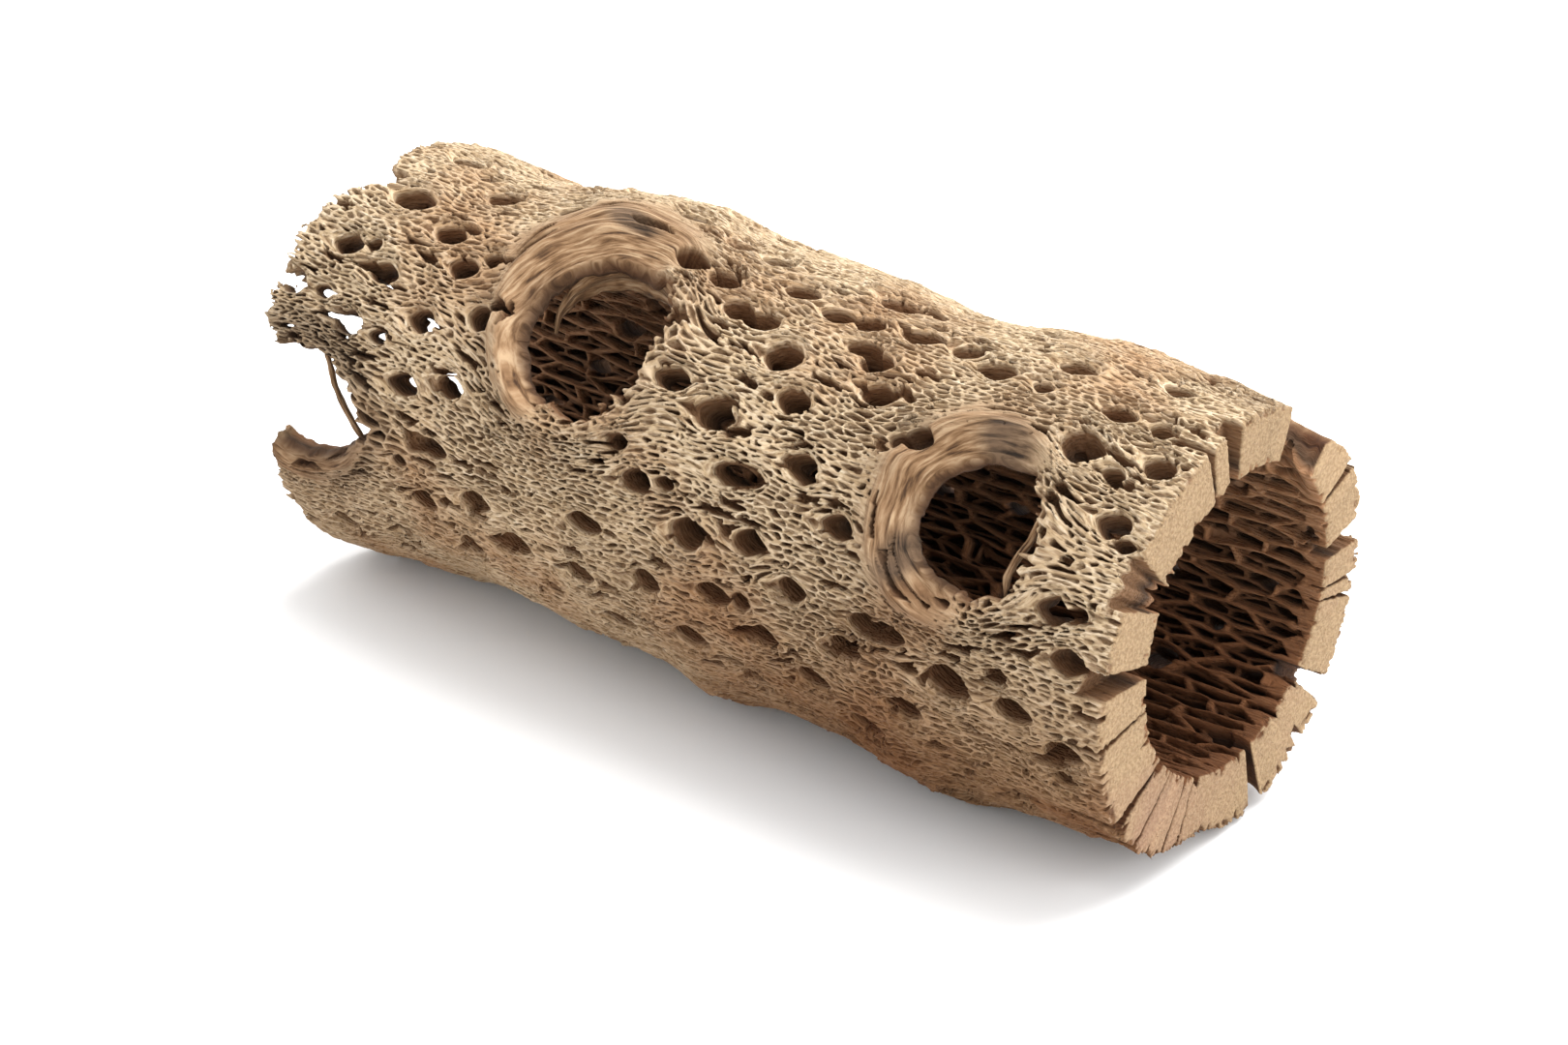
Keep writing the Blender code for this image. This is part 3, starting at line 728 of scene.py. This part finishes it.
def stain_at(x, psi):
    """How strong the stains are, from 0 to 1 at the middle of each."""
    stain = 0 * x
    for centre_x, centre_psi, reach_x, reach_around in STAINS:
        off_x = (x - centre_x) / reach_x
        off_s = turn_between(psi, centre_psi) * ARC / reach_around
        stain = np.maximum(stain, np.exp(-off_x * off_x - off_s * off_s))
    return stain


def mark_cut_edges(mesh, cuts):
    """Keeps the outside's shading apart from a cut through solid wood, so that no seam shows."""
    edge_of = np.empty(len(mesh.loops), np.int32)
    mesh.loops.foreach_get("edge_index", edge_of)
    of_cut = np.repeat(cuts, 4)
    count = len(mesh.edges)
    sharp = np.bincount(edge_of, of_cut, count).astype(bool)
    sharp &= np.bincount(edge_of, ~of_cut, count).astype(bool)
    mesh.shade_smooth()
    mesh.attributes.new("sharp_edge", "BOOLEAN", "EDGE").data.foreach_set("value", sharp)


def store(mesh, name, values):
    mesh.attributes.new(name, "FLOAT", "POINT").data.foreach_set("value", values.astype(np.float32))


def on_log(x, psi, depth):
    """Points in metres; the part of a swelling that would be under the floor is flat on it."""
    outer = outer_radius(x, psi)
    raised = smooth_step(20.0, 108.0, x)
    angle = np.radians(psi)
    bore = BORE_RADIUS + raised * (2.5 * np.cos(angle) - 1.5 * np.sin(angle))
    inward = np.where(depth > 0, (outer - bore) / WALL, 1.0)
    radius = outer - depth * inward
    height = np.maximum(AXIS_HEIGHT + radius * np.cos(angle), 0.0)
    return np.stack([x, -radius * np.sin(angle), height], axis=1) * MM


def sweep(name, path, half_wide, half_deep, taper, seed):
    """A loose strand along a path of (x, psi, depth), uneven, and thin at its ends."""
    path = np.array(path, float)
    steps, sides = 120, 16
    at = np.linspace(0, len(path) - 1, steps)
    knots = np.arange(len(path))
    line = np.stack([np.interp(at, knots, path[:, i]) for i in range(3)], axis=1)
    for _ in range(12):
        line[1:-1] = 0.25 * line[:-2] + 0.5 * line[1:-1] + 0.25 * line[2:]
    flat = line * (1.0, ARC, 1.0)
    length = np.append(0, np.cumsum(np.linalg.norm(np.diff(flat, axis=0), axis=1)))
    tangent = np.gradient(flat, axis=0)
    tangent /= np.linalg.norm(tangent, axis=1)[:, None]
    deep = np.array((0.0, 0.0, 1.0)) - tangent * tangent[:, 2:]
    deep /= np.linalg.norm(deep, axis=1)[:, None]
    wide = np.cross(tangent, deep)
    t = np.linspace(0, 1, steps)
    thin = np.interp(t, (0.0, 0.03, 1 - taper, 1.0), (0.75, 1.0, 1.0, 0.16))
    turn = np.linspace(0, 2 * np.pi, sides, endpoint=False)[None, :]
    uneven = 1 + 0.22 * lattice_noise(turn * 1.6 + 0 * t[:, None], length[:, None] / 2.2, 10, seed)
    uneven += 0.12 * lattice_noise(turn * 2.55 + 0 * t[:, None], length[:, None] / 6.0, 16, seed + 1)
    reach_wide = half_wide * thin[:, None] * np.cos(turn) * uneven
    reach_deep = half_deep * thin[:, None] * np.sin(turn) * uneven
    points = flat[:, None, :] + wide[:, None, :] * reach_wide[..., None]
    points += deep[:, None, :] * reach_deep[..., None]
    points = points.reshape(-1, 3)
    places = on_log(points[:, 0], points[:, 1] / ARC, points[:, 2])
    ring = np.arange(sides)
    start = (np.arange(steps - 1) * sides)[:, None]
    quads = np.stack([start + ring, start + (ring + 1) % sides, start + sides + (ring + 1) % sides,
                      start + sides + ring], axis=2).reshape(-1, 4)
    mesh = bpy.data.meshes.new(name)
    caps = [list(ring[::-1]), list(ring + (steps - 1) * sides)]
    mesh.from_pydata(places.tolist(), [], quads.tolist() + [[int(i) for i in cap] for cap in caps])
    mesh.shade_smooth()
    long_way = np.repeat(length, sides)
    across = np.tile(turn[0], steps) * 0.7
    values = dict(along=long_way, across=across, ring_x=0.08 * long_way, ring_y=0 * across,
                  ring_w=across * 1.4, collar=0 * across + 1, warm=0 * across + 1,
                  depth=0 * across + 1.5, depth_in_wall=0 * across + 3.5,
                  below=0.9 - 0.9 * uneven.ravel() + 0.4, sawn=0 * across, stain=0 * across)
    for key, value in values.items():
        store(mesh, key, value)
    return add_object(name, mesh)


# Materials

class Shade:
    """Short calls that each add one shader node to a material and return its output."""

    def __init__(self, material):
        self.nodes = material.node_tree.nodes
        self.links = material.node_tree.links

    def put(self, socket, value):
        """Links an output to a socket, or sets a colour or a number on it."""
        if isinstance(value, bpy.types.NodeSocket):
            self.links.new(value, socket)
        elif isinstance(value, tuple):
            socket.default_value = (*value, 1.0)
        else:
            socket.default_value = value

    def add(self, kind, inputs, output=0, **settings):
        """Adds a node of a kind with its settings and inputs, and returns one of its outputs."""
        node = self.nodes.new("ShaderNode" + kind)
        for key, value in settings.items():
            setattr(node, key, value)
        for key, value in inputs.items():
            self.put(node.inputs[key], value)
        return node.outputs[output]

    def attribute(self, key):
        return self.add("Attribute", {}, "Fac", attribute_name=key)

    def ramp(self, source, stops):
        colour = self.add("ValToRGB", {"Fac": source}, "Color")
        elements = colour.node.color_ramp.elements
        while len(elements) < len(stops):
            elements.new(0.5)
        for element, (position, shown) in zip(elements, stops):
            element.position = position
            element.color = (*shown, 1.0)
        return colour

    def span(self, source, low, high):
        """From 0 where the source is low to 1 where it is high."""
        return self.add("MapRange", {"From Min": low, "From Max": high, "Value": source})

    def mix(self, factor, first, second, kind="MIX"):
        """A colour between two others."""
        return self.add("Mix", {0: factor, 6: first, 7: second}, 2, data_type="RGBA", blend_type=kind)

    def tint(self, colour, tint, strength=1.0):
        """A colour multiplied by another."""
        return self.mix(strength, colour, tint, "MULTIPLY")

    def blend(self, factor, first, second):
        """A plain number between two others."""
        return self.add("Mix", {0: factor, 2: first, 3: second})

    def times(self, source, factor):
        return self.add("Math", {0: source, 1: factor}, operation="MULTIPLY")

    def combine(self, *values):
        return self.add("CombineXYZ", dict(enumerate(values)))

    def noise(self, vector, scale, detail, rough=0.5):
        inputs = {"Scale": scale, "Detail": detail, "Roughness": rough, "Vector": vector}
        return self.add("TexNoise", inputs, "Fac")

    def cracks(self, vector, scale):
        """Distance from the edges of irregular cells."""
        inputs = {"Scale": scale, "Vector": vector}
        return self.add("TexVoronoi", inputs, "Distance", feature="DISTANCE_TO_EDGE")

    def bump(self, height, strength, distance, normal=None, invert=False):
        inputs = {"Distance": distance, "Strength": strength, "Height": height}
        if normal is not None:
            inputs["Normal"] = normal
        return self.add("Bump", inputs, invert=invert)


def wood_textures(shade):
    """The grain follows the fibres along the wall, and runs round the knots on their collars. Broad
    is its slow change; patches and spots are in the object's own space; pores are on the wall only."""
    along, across, depth = (shade.attribute(key) for key in ("along", "across", "depth"))
    collar = shade.attribute("collar")
    fibres = shade.combine(shade.times(along, 0.10), across, depth)
    rings = shade.combine(*(shade.attribute(key) for key in ("ring_x", "ring_y", "ring_w")))
    place = shade.nodes.new("ShaderNodeTexCoord").outputs["Object"]
    pore_space = shade.combine(shade.times(along, 0.36), across, depth)
    pore = shade.span(shade.cracks(pore_space, 1.25), 0.12, 0.34)
    return dict(
        grain=shade.blend(collar, shade.noise(fibres, 1.6, 5.0, 0.6), shade.noise(rings, 2.0, 5.0, 0.55)),
        broad=shade.blend(collar, shade.noise(fibres, 0.35, 2.0), shade.noise(rings, 0.3, 3.0)),
        patches=shade.noise(place, 26.0, 3.0),
        spots=shade.noise(place, 1400.0, 2.0),
        pore=shade.mix(collar, pore, (0.0, 0.0, 0.0)),
        collar=collar,
        place=place,
    )


def outer_colour(shade, textures, tan):
    """Tan wood with rusty patches, browner near the knots, and streaked brown on the collars. Pores
    are darker, and pits darker with depth, partly as the wood's own colour and partly as painted shade."""
    grain, broad, patches = textures["grain"], textures["broad"], textures["patches"]
    patched = shade.mix(shade.span(patches, 0.5, 0.68), tan, shade.mix(0.7, tan, RUST))
    brown = shade.mix(shade.span(broad, 0.40, 0.62), LIGHT_BROWN, DARK_BROWN)
    warmed = shade.mix(shade.times(shade.attribute("warm"), 0.5), patched, brown)
    streaked = shade.ramp(grain, COLLAR_STREAKS)
    ring = shade.mix(shade.times(shade.span(broad, 0.45, 0.7), 0.5), streaked, brown)
    collared = shade.mix(textures["collar"], warmed, ring)
    pored = shade.mix(textures["pore"], collared, shade.tint(collared, PORE_TINT, 0.5))
    # Painted shade in part: pits darken with depth below the surface.
    pits_with_shade = shade.tint(collared, PIT_COLOUR_AND_SHADE, 0.9)
    return shade.mix(shade.span(shade.attribute("below"), 0.1, 1.8), pored, pits_with_shade)


def stain_colour(shade, textures, wood):
    """The wood with its stains: blotched inside, and streaked with the grain round them."""
    grain, stain = textures["grain"], shade.attribute("stain")
    dark = shade.mix(shade.span(grain, 0.36, 0.62), STAIN_DARK, STAIN_LIGHT)
    blotch = shade.times(shade.span(stain, 0.1, 0.55), shade.span(textures["patches"], 0.22, 0.55))
    blotched = shade.mix(blotch, wood, dark)
    return shade.mix(shade.times(stain, shade.span(grain, 0.62, 0.40)), blotched, dark)


def wood_colour(shade, textures):
    """From outside to inside, dark deep in the wall partly as painted shade; then painted shade towards the
    floor and at the low near end; and cut wood on the sawn face.
    """
    patches, in_wall = textures["patches"], shade.attribute("depth_in_wall")
    tan = shade.ramp(textures["grain"], TAN)
    outer = outer_colour(shade, textures, tan)
    # Dark deep in the wall: partly the wood's own colour, partly painted shade.
    ribs = shade.mix(shade.span(in_wall, 10.8, 13.4), LINING_DARK_AND_SHADE, LINING_LIGHT)
    wood = shade.mix(shade.span(in_wall, 6.5, 10.5), outer, shade.tint(tan, ribs, 0.95))
    wood = stain_colour(shade, textures, wood)
    axes = shade.nodes.new("ShaderNodeSeparateXYZ")
    shade.put(axes.inputs[0], textures["place"])
    height, length = axes.outputs["Z"], axes.outputs["X"]
    # Painted shade: darker towards the floor, and more so at the low near end.
    wood = shade.mix(shade.span(height, 0.062, 0.012), wood, shade.tint(wood, LOW_SHADE_TINT))
    low_near_end_shade = shade.times(shade.span(height, 0.060, 0.025), shade.span(length, -0.03, 0.05))
    wood = shade.mix(low_near_end_shade, wood, shade.tint(wood, LOW_NEAR_END_SHADE_TINT))
    cut_wood = shade.mix(shade.span(textures["spots"], 0.40, 0.62), CUT_DARK, CUT_LIGHT)
    pink = shade.mix(shade.span(patches, 0.5, 0.68), cut_wood, shade.mix(0.5, cut_wood, CUT_PINK))
    return shade.mix(shade.attribute("sawn"), wood, pink)


def wood_normal(shade, textures):
    """Fine relief from the grain and the pores, and specks on the sawn face."""
    grain = shade.bump(textures["grain"], 1.0, 0.0009)
    pores = shade.bump(textures["pore"], 0.5, 0.0004, normal=grain, invert=True)
    specks = shade.times(shade.attribute("sawn"), 0.7)
    return shade.bump(textures["spots"], specks, 0.0003, normal=pores)


def wood_material(name):
    material = bpy.data.materials.new(name)
    material.use_nodes = True
    shader = material.node_tree.nodes["Principled BSDF"]
    shader.inputs["Roughness"].default_value = 0.85
    shader.inputs["Specular IOR Level"].default_value = 0.25
    shade = Shade(material)
    textures = wood_textures(shade)
    shade.put(shader.inputs["Base Color"], wood_colour(shade, textures))
    shade.put(shader.inputs["Normal"], wood_normal(shade, textures))
    return material


# The scene

def make_wood():
    field, levels, maps, region = build_field()
    numbers = number_regions(region)
    weathered = wood_material("weathered_wood")
    collar_wood = wood_material("collar_wood")
    for number, name in enumerate(KNOTS, start=1):
        if name:
            piece = mesh_region(name + "_wood", number, field, levels, maps, numbers)
            finish_piece(piece, collar_wood, "collar_wood", name)
    for i, (quarter, length) in enumerate(region_names()):
        piece = mesh_region(f"{quarter}_{length}", FIRST_WALL + i, field, levels, maps, numbers)
        finish_piece(piece, weathered, "weathered_wood", quarter)
    fibre = wood_material("fibre_wood")
    for name, path, half_wide, half_deep, taper, seed in (
            ("collar_splinter", SPLINTER, 1.2, 3.3, 0.6, 61),
            ("knot_strand", KNOT_STRAND, 0.7, 0.8, 0.2, 63),
            ("end_strand", END_STRAND, 0.6, 0.7, 0.2, 65)):
        piece = sweep(name + "_wood", path, half_wide, half_deep, taper, seed)
        finish_piece(piece, fibre, "fibre_wood", name)


def finish_piece(piece, material, slot, *nodes):
    piece.data.materials.append(material)
    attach(piece, "root")
    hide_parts(*nodes)


def make_floor():
    bpy.ops.mesh.primitive_plane_add(size=6.0)
    floor = bpy.context.object
    floor.name = "floor"
    material = bpy.data.materials.new("pale_floor")
    material.use_nodes = True
    shader = material.node_tree.nodes["Principled BSDF"]
    shader.inputs["Base Color"].default_value = (0.93, 0.93, 0.93, 1.0)
    shader.inputs["Roughness"].default_value = 0.9
    floor.data.materials.append(material)


def make_light(name, place, target, size, watts):
    data = bpy.data.lights.new(name, "AREA")
    data.shape = "SQUARE"
    data.size = size
    data.energy = watts
    light = add_object(name, data)
    light.location = place
    light.rotation_mode = "QUATERNION"
    light.rotation_quaternion = (Vector(target) - Vector(place)).to_track_quat("-Z", "Y")


def make_camera():
    data = bpy.data.cameras.new("camera")
    data.lens = 85.0
    data.sensor_width = 36.0
    camera = add_object("camera", data)
    camera.location = (0.41842, -0.52435, 0.38725)
    back = Vector((0.5516, -0.6912, 0.4668))
    camera.rotation_mode = "QUATERNION"
    camera.rotation_quaternion = (-back).to_track_quat("-Z", "Y")
    bpy.context.scene.camera = camera


def make_world():
    world = bpy.data.worlds.new("world")
    world.use_nodes = True
    background = world.node_tree.nodes["Background"]
    background.inputs["Color"].default_value = (1.0, 1.0, 1.0, 1.0)
    background.inputs["Strength"].default_value = 1.25
    bpy.context.scene.world = world


make_camera()
make_world()
make_floor()
make_light("key", (0.10, 0.45, 0.90), (0, 0, 0.04), 1.0, 16.0)
make_light("side", (1.0, 0.05, 0.45), (0, 0, 0.04), 0.6, 4.0)
make_wood()
bpy.context.scene.view_settings.view_transform = "Standard"
